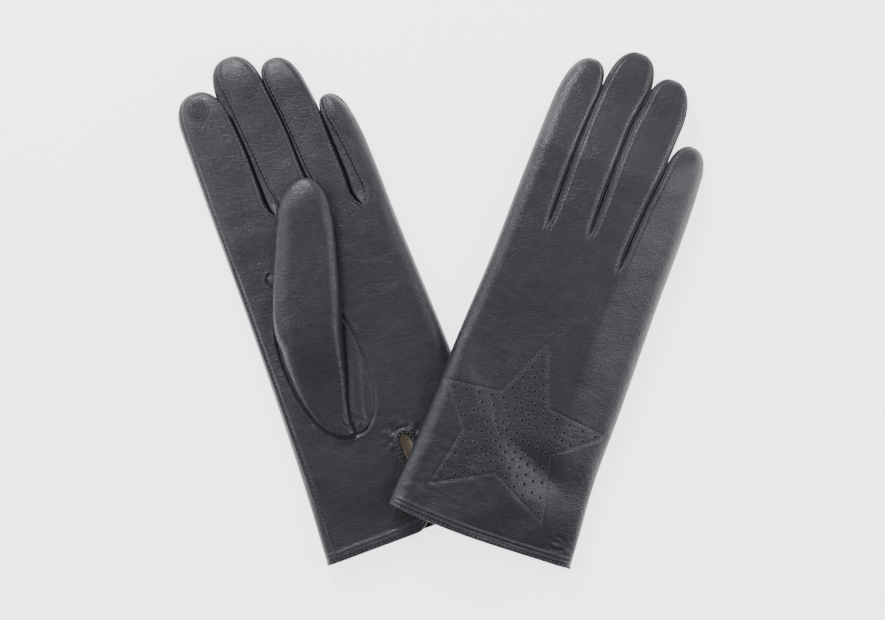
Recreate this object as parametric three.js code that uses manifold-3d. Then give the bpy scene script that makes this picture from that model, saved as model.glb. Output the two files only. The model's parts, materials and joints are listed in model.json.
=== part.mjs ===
// A pair of lined leather dress gloves laid flat on a table, in millimetres, +Z up.
// The left glove lies palm up with its thumb folded over the palm. The right glove lies
// palm down, its thumb tucked under the palm and its cuff resting on the left glove's cuff.
// Each glove is drawn in its own frame: x across (index side is -x), y from the wrist hem
// to the fingertips, and then turned outwards by TILT.
import * as THREE from 'three';
import * as BufferGeometryUtils from 'three/addons/utils/BufferGeometryUtils.js';
import Module from 'manifold-3d';

const wasm = await Module();
wasm.setup();

// ---- driving dimensions -------------------------------------------------------------
const LEATHER = 0.8;
const LINING = 0.5;
const GAP = 0.3;
const TILT = THREE.MathUtils.degToRad(20.5);
const CUFF_HALF = 45.5;
const KNUCKLE_HALF = 40.3;
const FLARE_END = 180;
const CUFF_HEIGHT = 10;
const KNUCKLE_HEIGHT = 12.8;
const KNUCKLE_Y = 165;
const EDGE_ROLL = 9;
const FINGER_HALF = 6.4;
const WALL_ROLL = 2;
const TURNED_EDGE = 2.2;
const THUMB_HALF = 4.7;
const THUMB_GAP = 0.6;
const HEM_WIDTH = 7.5;
const TABLE_CLEARANCE = 0.8;
const CUFF_LIFT = 12.4;
const THUMB_LIFT = 10.7;
const PAD_RADIUS = 5.2;
const CUTTER_HEIGHT = 80;
const SEAM_TOP = THREE.MathUtils.degToRad(49);
const SEAM_WRAP = THREE.MathUtils.degToRad(-45);
const SEAM_EDGE = THREE.MathUtils.degToRad(3.5);
const VENT = { x: 7.8, headY: 41, headR: 3.2, slit: 1.5, bindWidth: 2.4, bindThick: 0.5 };
const THUMB_HOLE = { x: -14.5, y: 92, across: 14.5, along: 35, turn: 0.14 };
const QUIRK = { x: -23, y: 133.5, half: 2.6, length: 4, turn: 0.5 };

// Where each glove's wrist hem centre lies, and the pair's own centre.
const PAIR_CENTRE = new THREE.Vector2(-0.6, -0.8);
const LEFT_ORIGIN = new THREE.Vector2(-10.7, -104.3);
const RIGHT_ORIGIN = new THREE.Vector2(17.2, -106.9);

// Each finger: hinge is where it joins the hand, round is where its tip starts to curve in,
// left and right are its edges at those two places, inset narrows its upper panel.
const LEFT_FINGERS = {
  index: {
    hinge: 166, round: 214, tipX: -28.2, tipY: 230.3,
    left: [-40.3, -39.8], right: [-16.8, -17.4], inset: [0, 0],
  },
  middle: {
    hinge: 176, round: 224, tipX: -7.4, tipY: 240.7,
    left: [-15.4, -17.6], right: [6, 3], inset: [2.6, 0],
  },
  ring: {
    hinge: 176, round: 216, tipX: 12.2, tipY: 233,
    left: [7.6, 5], right: [24.2, 22.6], inset: [1.2, 0],
  },
  little: {
    hinge: 159, round: 193, tipX: 30.6, tipY: 208.3,
    left: [26.6, 24.4], right: [40.4, 38.7], inset: [3, 0],
  },
};
const RIGHT_FINGERS = {
  index: {
    hinge: 150, round: 212, tipX: -28.4, tipY: 229.5,
    left: [-40.4, -39.6], right: [-22, -21.6], inset: [0, 0],
  },
  middle: {
    hinge: 151, round: 222, tipX: -8.2, tipY: 239.6,
    left: [-21, -20.4], right: [-2.2, 0.4], inset: [0, 0],
  },
  ring: {
    hinge: 150, round: 215, tipX: 10.8, tipY: 233,
    left: [-1.2, 2.2], right: [16.9, 20.7], inset: [0, 0],
  },
  little: {
    hinge: 140, round: 192, tipX: 30.2, tipY: 206.5,
    left: [18.2, 22.4], right: [40.6, 39.6], inset: [0, 0],
  },
};

// ---- small helpers ------------------------------------------------------------------
const lerp = THREE.MathUtils.lerp;
const smooth = (t) => THREE.MathUtils.smoothstep(t, 0, 1);

// The value at y of a straight-sided line through a few [y, value] keys.
function along(keys, y) {
  if (y <= keys[0][0]) return keys[0][1];
  for (let i = 1; i < keys.length; i += 1) {
    if (y <= keys[i][0]) {
      const t = (y - keys[i - 1][0]) / (keys[i][0] - keys[i - 1][0]);
      return lerp(keys[i - 1][1], keys[i][1], t);
    }
  }
  return keys[keys.length - 1][1];
}

const halfWidth = (y) => KNUCKLE_HALF + (CUFF_HALF - KNUCKLE_HALF) * (1 - y / FLARE_END) ** 2;
const handHeight = (y) => lerp(CUFF_HEIGHT, KNUCKLE_HEIGHT, y / KNUCKLE_Y);

// The thumb's side edges, and its folded edge beside the leaf-shaped foot.
const THUMB_LEFT = [[58, -23], [72, -30.3], [95, -33], [115, -30.6], [140, -20.9], [160, -12.4]];
const THUMB_RIGHT = [[58, -14], [62, -13], [104, -0.4], [140, 9.8], [160, 13.4]];
const LEAF_SEAM = [[57, -6], [62, 0.4], [72, 2.2], [85, 2.4], [104, -0.1]];
const THUMB = { base: 60, round: 158, tipX: 4.4, tipY: 174.2 };

// Deforms a box into a bent plate: u across, v along, w through the thickness, each 0 to 1.
function plate(acrossSteps, alongSteps, place) {
  const geometry = new THREE.BoxGeometry(1, 1, 1, acrossSteps, alongSteps, 1);
  const at = geometry.attributes.position;
  for (let i = 0; i < at.count; i += 1) {
    const point = place(at.getX(i) + 0.5, at.getY(i) + 0.5, at.getZ(i) + 0.5);
    at.setXYZ(i, point[0], point[1], point[2]);
  }
  return facingOut(geometry);
}

// Deforms a lathed wall into a flattened sleeve. rows are [s, wall], wall 0 outside, 1 inside.
function sleeve(around, rows, place) {
  const outline = rows.map(([s, wall, onAxis]) => new THREE.Vector2(onAxis ? 0 : 2 - wall, s));
  const geometry = new THREE.LatheGeometry(outline, around);
  const at = geometry.attributes.position;
  for (let i = 0; i < at.count; i += 1) {
    const [s, wall, onAxis] = rows[i % rows.length];
    const turn = (2 * Math.PI * (Math.floor(i / rows.length) % around)) / around;
    const point = place(turn, s, wall, onAxis ? 0 : 1);
    at.setXYZ(i, point[0], point[1], point[2]);
  }
  return facingOut(geometry);
}

// A thimble's rows: from the outer tip down to the mouth and back up to the inner tip.
const THIMBLE_ROWS = [[1, 0, true], [0.96, 0], [0.84, 0], [0.6, 0], [0.3, 0], [0, 0],
  [0, 1], [0.3, 1], [0.6, 1], [0.84, 1], [0.96, 1], [1, 1, true]];

// Merges the corners, and turns every face over if the body is inside out.
function facingOut(source) {
  const bare = source.clone();
  bare.deleteAttribute('normal');
  bare.deleteAttribute('uv');
  const geometry = BufferGeometryUtils.mergeVertices(bare, 1e-4);
  const at = geometry.attributes.position;
  const index = geometry.index.array;
  const kept = [];
  const [a, b, c] = [new THREE.Vector3(), new THREE.Vector3(), new THREE.Vector3()];
  let volume = 0;
  for (let i = 0; i < index.length; i += 3) {
    const [ia, ib, ic] = [index[i], index[i + 1], index[i + 2]];
    if (ia !== ib && ib !== ic && ic !== ia) {
      a.fromBufferAttribute(at, ia);
      b.fromBufferAttribute(at, ib);
      c.fromBufferAttribute(at, ic);
      volume += a.dot(b.cross(c));
      kept.push(ia, ib, ic);
    }
  }
  if (volume < 0) kept.reverse();
  geometry.setIndex(kept);
  return geometry;
}

function toSolid(geometry) {
  const vertProperties = new Float32Array(geometry.attributes.position.array);
  const triVerts = new Uint32Array(geometry.index.array);
  return new wasm.Manifold(new wasm.Mesh({ numProp: 3, vertProperties, triVerts }));
}

// Cuts the tool geometries out of a body.
function cut(geometry, ...tools) {
  let solid = toSolid(geometry);
  for (const tool of tools) solid = solid.subtract(toSolid(facingOut(tool)));
  const mesh = solid.getMesh();
  const result = new THREE.BufferGeometry();
  result.setAttribute('position', new THREE.BufferAttribute(new Float32Array(mesh.vertProperties), 3));
  result.setIndex(Array.from(mesh.triVerts));
  return result;
}

const block = (x0, x1, y0, y1) => new THREE.BoxGeometry(x1 - x0, y1 - y0, CUTTER_HEIGHT)
  .translate((x0 + x1) / 2, (y0 + y1) / 2, 0);

// ---- one cross-section, shared by every panel ------------------------------------------
// side is +1 for an upper panel and -1 for a lower one. startLeft and startRight are the roll
// angles where the panel's edges begin: 0 is the widest point and 90 degrees the flat top.
function across(section, u, side, depth) {
  const left = section.left + depth;
  const right = section.right - depth;
  const half = section.half - depth;
  const rollLeft = section.rollLeft - depth;
  const rollRight = section.rollRight - depth;
  const quarter = Math.PI / 2;
  if (u < 1 / 3) {
    const turn = lerp(section.startLeft, quarter, 3 * u);
    return [left + rollLeft * (1 - Math.cos(turn)), side * half * Math.sin(turn)];
  }
  if (u > 2 / 3) {
    const turn = lerp(section.startRight, quarter, 3 * (1 - u));
    return [right - rollRight * (1 - Math.cos(turn)), side * half * Math.sin(turn)];
  }
  return [lerp(left + rollLeft, right - rollRight, 3 * u - 1), side * half];
}

// Gives each rolled edge two steps, and the rest of the steps to the flat between them.
function spreadSteps(step, count) {
  if (step <= 2) return step / 6;
  if (step >= count - 2) return 1 - (count - step) / 6;
  return 1 / 3 + (step - 2) / (count - 4) / 3;
}

// ---- one glove ------------------------------------------------------------------------
function makeGlove(name, palmUp, fingers, lift, steps, toWorld, looks) {
  const glove = new THREE.Group();
  const palmSide = palmUp ? 1 : -1;
  const bottom = (x, y) => lift(x, y);
  const middleZ = (x, y) => bottom(x, y) + handHeight(y) / 2;
  const palmZ = (x, y) => middleZ(x, y) + palmSide * (handHeight(y) / 2);

  function add(part, geometry, look) {
    const mesh = new THREE.Mesh(geometry, new THREE.MeshStandardMaterial(look));
    mesh.name = `${name}_${part}`;
    glove.add(mesh);
  }

  // The palm and the back. On the index side the seam lies on the palm's face, so the back
  // panel wraps round the edge; on the little finger side the seam runs along the edge.
  const top = Math.max(...Object.values(fingers).map((finger) => finger.hinge));
  function handSection(y, isPalm) {
    const half = handHeight(y) / 2;
    const start = isPalm ? SEAM_TOP : SEAM_WRAP;
    const width = halfWidth(y);
    return { left: -width, right: width, half, rollLeft: EDGE_ROLL, rollRight: EDGE_ROLL,
      startLeft: start, startRight: SEAM_EDGE };
  }
  function handPanel(isPalm) {
    const side = isPalm ? palmSide : -palmSide;
    const body = plate(steps.across, steps.along, (u, v, w) => {
      const y = v * (top - GAP / 2);
      const spread = spreadSteps(u * steps.across, steps.across);
      const [x, z] = across(handSection(y, isPalm), spread, side, LEATHER * (1 - w));
      return [x, y, middleZ(x, y) + z];
    });
    const order = Object.values(fingers);
    const slots = [];
    order.forEach((finger, i) => {
      const from = i === 0 ? -60 : finger.left[0] - GAP;
      const to = i === order.length - 1 ? 60 : order[i + 1].left[0] - GAP;
      if (finger.hinge < top) slots.push(block(from, to, finger.hinge - GAP / 2, top + 5));
      if (i < order.length - 1) {
        const root = Math.min(finger.hinge, order[i + 1].hinge) - 6;
        slots.push(block(finger.right[0], order[i + 1].left[0], root, top + 5));
      }
    });
    if (isPalm) {
      slots.push(holeTool(THUMB_HOLE.across, THUMB_HOLE.along));
      slots.push(quirkTool(QUIRK.half + GAP, QUIRK.length + GAP));
      slots.push(...ventTools(0));
    }
    return cut(body, ...slots);
  }
  function holeTool(halfAcross, halfAlong) {
    return new THREE.CylinderGeometry(1, 1, 80, 20).rotateX(Math.PI / 2)
      .scale(halfAcross, halfAlong, 1).rotateZ(THUMB_HOLE.turn)
      .translate(THUMB_HOLE.x, THUMB_HOLE.y, 0);
  }
  function quirkTool(half, length) {
    return new THREE.CylinderGeometry(1, 1, 80, 4).rotateX(Math.PI / 2)
      .scale(half, length, 1).rotateZ(-QUIRK.turn)
      .translate(QUIRK.x, QUIRK.y, 0);
  }
  function ventTools(extra) {
    const slit = VENT.slit + extra;
    const head = new THREE.CylinderGeometry(VENT.headR + extra, VENT.headR + extra, 80, 16);
    head.rotateX(Math.PI / 2).translate(VENT.x, VENT.headY, 0);
    return [head, block(VENT.x - slit, VENT.x + slit, -5, VENT.headY)];
  }
  add('palm_panel', handPanel(true), looks.leather);
  add('back_panel', handPanel(false), looks.leather);

  // The fingers.
  const lowTop = Math.min(...Object.values(fingers).map((finger) => finger.hinge));
  function fingerEdges(finger, y, upper) {
    const t = Math.min((y - finger.hinge) / (finger.round - finger.hinge), 1);
    let left = lerp(finger.left[0], finger.left[1], t) + (upper ? finger.inset[0] : 0);
    let right = lerp(finger.right[0], finger.right[1], t) - (upper ? finger.inset[1] : 0);
    const s = Math.max((y - finger.round) / (finger.tipY - finger.round), 0);
    const taper = Math.sqrt(1 - 0.95 * s * s);
    const centre = lerp((left + right) / 2, finger.tipX, s);
    const half = ((right - left) / 2) * taper;
    left = centre - half;
    right = centre + half;
    return { left, right, taper };
  }
  function fingerPanel(finger, side, isPalm, outer) {
    return plate(6, 9, (u, v, w) => {
      const depth = LEATHER * (1 - w);
      const straight = v * 9 <= 6;
      const t = straight ? (v * 9) / 6 : Math.sin((Math.PI / 2) * ((v * 9 - 6) / 3));
      const y = straight
        ? lerp(finger.hinge + GAP / 2, finger.round, t)
        : lerp(finger.round, finger.tipY - depth, t);
      const edges = fingerEdges(finger, y, side > 0);
      const half = FINGER_HALF * lerp(0.35, 1, edges.taper);
      const turned = Math.asin(1 - TURNED_EDGE / FINGER_HALF) * edges.taper;
      const seam = isPalm ? SEAM_TOP : SEAM_WRAP;
      const section = { left: edges.left, right: edges.right, half,
        rollLeft: outer === 'left' ? EDGE_ROLL * 0.6 * edges.taper : WALL_ROLL * edges.taper,
        rollRight: outer === 'right' ? EDGE_ROLL * 0.6 * edges.taper : WALL_ROLL * edges.taper,
        startLeft: outer === 'left' ? lerp(SEAM_EDGE, seam, edges.taper) : turned + SEAM_EDGE,
        startRight: outer === 'right' ? SEAM_EDGE * 1.5 : turned + SEAM_EDGE };
      const keep = Math.min(depth, section.rollLeft * 0.8, section.rollRight * 0.8);
      const [x, z] = across(section, u, side, keep);
      return [x, y, bottom(x, y) + FINGER_HALF + z];
    });
  }
  function fourchette(finger, isLeft) {
    const inward = isLeft ? 1 : -1;
    return plate(1, 6, (u, v, w) => {
      const y = lerp(finger.hinge + GAP / 2, finger.round - 1, v);
      const reach = (FINGER_HALF - TURNED_EDGE - GAP) * lerp(1, 0.6, v * v);
      const low = fingerEdges(finger, y, false);
      const high = fingerEdges(finger, y, true);
      const edge = isLeft ? lerp(low.left, high.left, u) : lerp(low.right, high.right, u);
      const x = edge + inward * LEATHER * (1 - w);
      return [x, y, bottom(edge, y) + FINGER_HALF + lerp(-reach, reach, u)];
    });
  }
  function fingerLining(finger) {
    const wall = LEATHER + GAP + steps.fingerSlack;
    return sleeve(10, THIMBLE_ROWS, (turn, s, inner, reach) => {
      const start = finger.hinge + GAP / 2;
      const end = finger.tipY - 2.5 - inner;
      const y = lerp(start, end, s);
      const edges = fingerEdges(finger, Math.min(y + 1.5, finger.tipY), true);
      const low = fingerEdges(finger, Math.min(y + 1.5, finger.tipY), false);
      const depth = wall + inner * LINING;
      const left = Math.max(edges.left, low.left) + depth;
      const right = Math.min(edges.right, low.right) - depth;
      const close = lerp(0.3, 1, edges.taper) * reach;
      const x = (left + right) / 2 + ((right - left) / 2) * Math.cos(turn) * reach;
      const z = (FINGER_HALF - depth) * Math.sin(turn) * close * 0.97;
      return [x, y, bottom(x, y) + FINGER_HALF + z];
    });
  }
  const order = Object.keys(fingers);
  order.forEach((key, i) => {
    const finger = fingers[key];
    const outer = i === 0 ? 'left' : i === order.length - 1 ? 'right' : 'none';
    add(`${key}_front`, fingerPanel(finger, palmSide, true, outer), looks.leather);
    add(`${key}_back`, fingerPanel(finger, -palmSide, false, outer), looks.leather);
    if (i > 0) {
      add(`${key}_fourchette_${order[i - 1]}_side`, fourchette(finger, true), looks.leather);
    }
    if (i < order.length - 1) {
      add(`${key}_fourchette_${order[i + 1]}_side`, fourchette(finger, false), looks.leather);
    }
    add(`${key}_lining`, fingerLining(finger), looks.lining);
  });

  // The touch pad on the index finger's palm side.
  add('touch_pad', plate(4, 4, (u, v, w) => {
    const [a, b] = [2 * u - 1, 2 * v - 1];
    const x = fingers.index.tipX + PAD_RADIUS * a * Math.sqrt(1 - (b * b) / 2);
    const y = fingers.index.tipY - 8.5 + PAD_RADIUS * b * Math.sqrt(1 - (a * a) / 2);
    const face = bottom(x, y) + FINGER_HALF * (1 + palmSide);
    return [x, y, face + palmSide * (GAP + 0.4 * w)];
  }), looks.pad);

  // The thumb, lying along the palm in a layer of its own.
  const thumbMiddle = (x, y) => palmZ(x, y) + palmSide * (THUMB_GAP + THUMB_HALF);
  function thumbEdges(y) {
    const s = Math.max((y - THUMB.round) / (THUMB.tipY - THUMB.round), 0);
    const taper = Math.sqrt(1 - 0.95 * s * s);
    const low = THREE.MathUtils.smoothstep(y, THUMB.base - 12, THUMB.base + 4);
    const centre = lerp((along(THUMB_LEFT, y) + along(THUMB_RIGHT, y)) / 2, THUMB.tipX, s);
    const half = ((along(THUMB_RIGHT, y) - along(THUMB_LEFT, y)) / 2) * taper * low;
    return { left: centre - half, right: centre + half, taper };
  }
  function thumbY(from, v, depth) {
    if (v <= 0.6) return lerp(from, THUMB.round, v / 0.6);
    return lerp(THUMB.round, THUMB.tipY - depth, Math.sin((Math.PI / 2) * ((v - 0.6) / 0.4)));
  }
  function thumbPanel(from, side) {
    return plate(6, 10, (u, v, w) => {
      const depth = LEATHER * (1 - w);
      const y = thumbY(from, v, depth);
      const edges = thumbEdges(y);
      const roll = Math.min(8, (edges.right - edges.left) / 2.5);
      const section = { left: edges.left, right: edges.right,
        half: THUMB_HALF * lerp(0.3, 1, edges.taper), rollLeft: roll, rollRight: roll,
        startLeft: SEAM_EDGE * 1.5, startRight: SEAM_EDGE * 1.5 };
      const [x, z] = across(section, u, side, depth);
      return [x, y, thumbMiddle(x, y) + z];
    });
  }
  const mouth = THUMB_HOLE.y + 20;
  add('thumb_front', thumbPanel(THUMB.base, palmSide), looks.leather);
  add('thumb_back', thumbPanel(mouth, -palmSide), looks.leather);
  add('thumb_lining', sleeve(10, THIMBLE_ROWS, (turn, s, inner, reach) => {
    const y = lerp(mouth, THUMB.tipY - 2.5 - inner, s);
    const edges = thumbEdges(Math.min(y + 1.5, THUMB.tipY));
    const depth = LEATHER + GAP + inner * LINING;
    const half = (edges.right - edges.left) / 2 - depth;
    const x = (edges.left + edges.right) / 2 + half * Math.cos(turn) * reach;
    const close = lerp(0.2, 1, edges.taper) * reach;
    return [x, y, thumbMiddle(x, y) + (THUMB_HALF - depth) * Math.sin(turn) * close * 0.97];
  }), looks.lining);

  // The leaf-shaped foot of the thumb piece, between its fold and the oval seam in the palm.
  add('thumb_foot', plate(2, 8, (u, v, w) => {
    const y = lerp(THUMB.base, 102, v);
    const fold = thumbEdges(y).right + GAP * 1.5;
    const x = lerp(fold, Math.max(along(LEAF_SEAM, y), fold + 0.6), u);
    const rise = GAP + LEATHER * w + 2.4 * (1 - u) * Math.sin(Math.PI * v);
    return [x, y, palmZ(x, y) + palmSide * rise];
  }), looks.leather);

  // The quirk, the small diamond at the top of the thumb hole, set flush in the palm.
  add('quirk', plate(2, 2, (u, v, w) => {
    const [a, b] = [u - 0.5, v - 0.5];
    const [p, q] = [QUIRK.half * (a - b), QUIRK.length * (a + b)];
    const x = QUIRK.x + p * Math.cos(QUIRK.turn) + q * Math.sin(QUIRK.turn);
    const y = QUIRK.y - p * Math.sin(QUIRK.turn) + q * Math.cos(QUIRK.turn);
    return [x, y, palmZ(x, y) - palmSide * LEATHER * (1 - w)];
  }), looks.leather);

  // The hem's turned-in facing, and the lining of the hand, both open sleeves.
  function handSleeve(from, to, depth, thick, steps) {
    const rows = [];
    for (let i = 0; i <= steps; i += 1) rows.push([i / steps, 0]);
    for (let i = steps; i >= 0; i -= 1) rows.push([i / steps, 1]);
    rows.push([0, 0]);
    return sleeve(24, rows, (turn, s, inner) => {
      const y = lerp(from, to, s);
      const deep = depth + inner * thick;
      const half = handHeight(y) / 2 - deep;
      const [c, t] = [Math.cos(turn), Math.sin(turn)];
      const x = (halfWidth(y) - deep * 1.6) * Math.sign(c) * Math.abs(c) ** 0.85;
      return [x, y, middleZ(x, y) + half * Math.sign(t) * Math.abs(t) ** 0.85];
    });
  }
  const inside = LEATHER + GAP;
  const liningIn = inside + steps.slack;
  add('cuff_hem', cut(handSleeve(0.4, HEM_WIDTH, inside + steps.slack / 2, LEATHER, steps.hem),
    ...ventTools(0.4).map((tool) => tool.translate(0, 0, middleZ(VENT.x, 0) + 40 * palmSide))),
  looks.leather);
  add('hand_lining', cut(handSleeve(HEM_WIDTH + GAP, lowTop - 6, liningIn, LINING, steps.lining),
    ...[holeTool(THUMB_HOLE.across - 1, THUMB_HOLE.along - 1), ...ventTools(0.4)]
      .map((tool) => tool.translate(0, 0, middleZ(VENT.x, 60) + 40 * palmSide))),
  looks.lining);

  // The binding strip round the keyhole vent.
  add('vent_binding', plate(2, 18, (u, v, w) => {
    const reach = VENT.headR + 0.4 + VENT.bindWidth * u;
    const leg = VENT.slit + 0.4 + VENT.bindWidth * u;
    const foot = 1;
    let x;
    let y;
    const bend = THREE.MathUtils.clamp((v - 1 / 3) * 3, 0, 1);
    const angle = lerp(1.2 * Math.PI, -0.2 * Math.PI, bend);
    x = VENT.x + reach * Math.cos(angle);
    y = VENT.headY + reach * Math.sin(angle);
    if (v < 1 / 3) {
      x = lerp(VENT.x - leg, x, (3 * v) ** 3);
      y = lerp(foot, y, 3 * v);
    }
    if (v > 2 / 3) {
      x = lerp(VENT.x + leg, x, (3 * (1 - v)) ** 3);
      y = lerp(foot, y, 3 * (1 - v));
    }
    return [x, y, palmZ(x, y) + palmSide * (GAP + steps.slack / 3 + VENT.bindThick * w)];
  }), looks.leather);

  glove.rotation.z = toWorld.turn;
  glove.position.set(toWorld.x - PAIR_CENTRE.x, toWorld.y - PAIR_CENTRE.y, 0);
  return glove;
}

// ---- how the right glove rides over the left one's cuff and over its own thumb -----------
function rightLift(x, y) {
  const [c, s] = [Math.cos(TILT), Math.sin(TILT)];
  const worldX = RIGHT_ORIGIN.x + x * c + y * s;
  const worldY = RIGHT_ORIGIN.y - x * s + y * c;
  const [dx, dy] = [worldX - LEFT_ORIGIN.x, worldY - LEFT_ORIGIN.y];
  const [leftX, leftY] = [dx * c + dy * s, -dx * s + dy * c];
  const inside = Math.min(halfWidth(Math.max(leftY, 0)) - leftX, leftY);
  const onCuff = smooth((inside + 34) / 34);
  const overThumb = smooth((44 - x) / 28) * smooth((y - 20) / 34) * smooth((218 - y) / 38);
  const rise = Math.max((CUFF_LIFT - TABLE_CLEARANCE) * onCuff,
    (THUMB_LIFT - TABLE_CLEARANCE) * overThumb);
  return TABLE_CLEARANCE + rise;
}

const looks = {
  leather: { color: 0x3a3a3f, roughness: 0.45, metalness: 0 },
  lining: { color: 0xe9dfc6, roughness: 0.9, metalness: 0 },
  pad: { color: 0x333338, roughness: 0.6, metalness: 0 },
};

const gloves = new THREE.Group();
gloves.add(makeGlove('left', true, LEFT_FINGERS, () => 0,
  { across: 8, along: 10, lining: 6, hem: 1, slack: 0.4, fingerSlack: 0.5 },
  { x: LEFT_ORIGIN.x, y: LEFT_ORIGIN.y, turn: TILT }, looks));
gloves.add(makeGlove('right', false, RIGHT_FINGERS, rightLift,
  { across: 13, along: 15, lining: 14, hem: 2, slack: 1.2, fingerSlack: 1.05 },
  { x: RIGHT_ORIGIN.x, y: RIGHT_ORIGIN.y, turn: -TILT }, looks));

export default gloves;
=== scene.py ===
# %% [markdown]
# # A pair of lined leather dress gloves
# The left glove lies palm up with its thumb folded over the palm, and the right glove lies back
# up with its cuff on the left one's. Leather panels are thin sheets, so each panel here starts
# as one flat grid, and a formula bends it to its place. The same formulas give the seams,
# stitches and linings, which is why everything meets.

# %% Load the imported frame
import json
import math
import bmesh
import bpy
from mathutils import Matrix, Vector, noise

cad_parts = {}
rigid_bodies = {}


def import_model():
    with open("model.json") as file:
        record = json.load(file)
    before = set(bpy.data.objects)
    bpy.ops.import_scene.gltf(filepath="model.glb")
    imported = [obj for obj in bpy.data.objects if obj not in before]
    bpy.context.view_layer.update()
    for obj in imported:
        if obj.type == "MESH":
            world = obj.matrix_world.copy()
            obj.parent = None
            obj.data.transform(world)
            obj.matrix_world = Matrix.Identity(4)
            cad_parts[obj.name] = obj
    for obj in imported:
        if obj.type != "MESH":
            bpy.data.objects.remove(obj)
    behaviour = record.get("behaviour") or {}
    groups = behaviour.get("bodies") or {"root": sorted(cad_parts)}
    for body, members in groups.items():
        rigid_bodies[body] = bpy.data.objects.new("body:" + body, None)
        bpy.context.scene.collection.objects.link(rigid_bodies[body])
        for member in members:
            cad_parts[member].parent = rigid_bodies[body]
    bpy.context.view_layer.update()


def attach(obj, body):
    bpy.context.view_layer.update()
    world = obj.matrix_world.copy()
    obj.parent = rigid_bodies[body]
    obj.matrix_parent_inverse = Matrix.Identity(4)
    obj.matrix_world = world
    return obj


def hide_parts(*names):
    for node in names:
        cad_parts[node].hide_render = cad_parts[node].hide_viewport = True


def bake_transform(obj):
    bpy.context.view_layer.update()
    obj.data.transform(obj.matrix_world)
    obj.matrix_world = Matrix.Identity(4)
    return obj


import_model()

# %% [markdown]
# ## Sizes
# Everything is worked out in millimetres in each glove's own frame: x across with the index
# finger on the minus side, y from the wrist hem to the fingertips. `place` turns a point of
# that frame into metres on the table.

# %% Driving sizes and the two gloves' places
MM = 0.001
TILT = math.radians(20.5)
ORIGIN = {"left": (-10.1, -103.5), "right": (17.8, -106.1)}
TURN = {"left": TILT, "right": -TILT}
PALM_SIDE = {"left": 1, "right": -1}
KNUCKLE_HALF, CUFF_FLARE, FLARE_END = 40.3, 5.2, 180
CUFF_HEIGHT, KNUCKLE_HEIGHT, KNUCKLE_Y = 10.0, 12.8, 165
ROOT_Y = {"left": 146.0, "right": 132.0}
EDGE_ROLL = 7.0
LEATHER = 0.8
TABLE_CLEARANCE, CUFF_LIFT, THUMB_LIFT = 0.3, 12.4, 10.7


def place(glove, x, y, z):
    c, s = math.cos(TURN[glove]), math.sin(TURN[glove])
    ox, oy = ORIGIN[glove]
    return Vector((ox + x * c - y * s, oy + x * s + y * c, z)) * MM


def mix(a, b, t):
    return a + (b - a) * t


def ease(t):
    t = min(max(t, 0.0), 1.0)
    return t * t * (3 - 2 * t)


def curve(keys, y):
    """The value at y of a smooth curve through a few (y, value) keys."""
    if y <= keys[0][0]:
        return keys[0][1]
    if y >= keys[-1][0]:
        return keys[-1][1]
    i = next(k for k in range(1, len(keys)) if y <= keys[k][0])
    (y0, a), (y1, b) = keys[i - 1], keys[i]
    span = y1 - y0
    slope = (b - a) / span
    before = (a - keys[i - 2][1]) / (y0 - keys[i - 2][0]) if i > 1 else slope
    after = (keys[i + 1][1] - b) / (keys[i + 1][0] - y1) if i + 1 < len(keys) else slope
    m0, m1 = (before + slope) / 2 * span, (after + slope) / 2 * span
    t = (y - y0) / span
    return (
        a * (1 + 2 * t) * (1 - t) ** 2 + m0 * t * (1 - t) ** 2
        + b * t * t * (3 - 2 * t) + m1 * t * t * (t - 1)
    )


def half_width(y):
    return KNUCKLE_HALF + CUFF_FLARE * (1 - min(y, FLARE_END) / FLARE_END) ** 2


def hand_height(y):
    return mix(CUFF_HEIGHT, KNUCKLE_HEIGHT, min(max(y, 0) / KNUCKLE_Y, 1.0))


# %% [markdown]
# ## Fingers
# A finger's edges are curves through a few points, `slit` is where the gaps beside it begin,
# and its tip rounds off from `round`. `share` is how much of the gap beside it the lower panel
# takes, so the side strips swell outwards and fill the gaps, as on the palm-up glove, and
# `spread` is how far they still stick out past the neighbour's tip.

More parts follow.
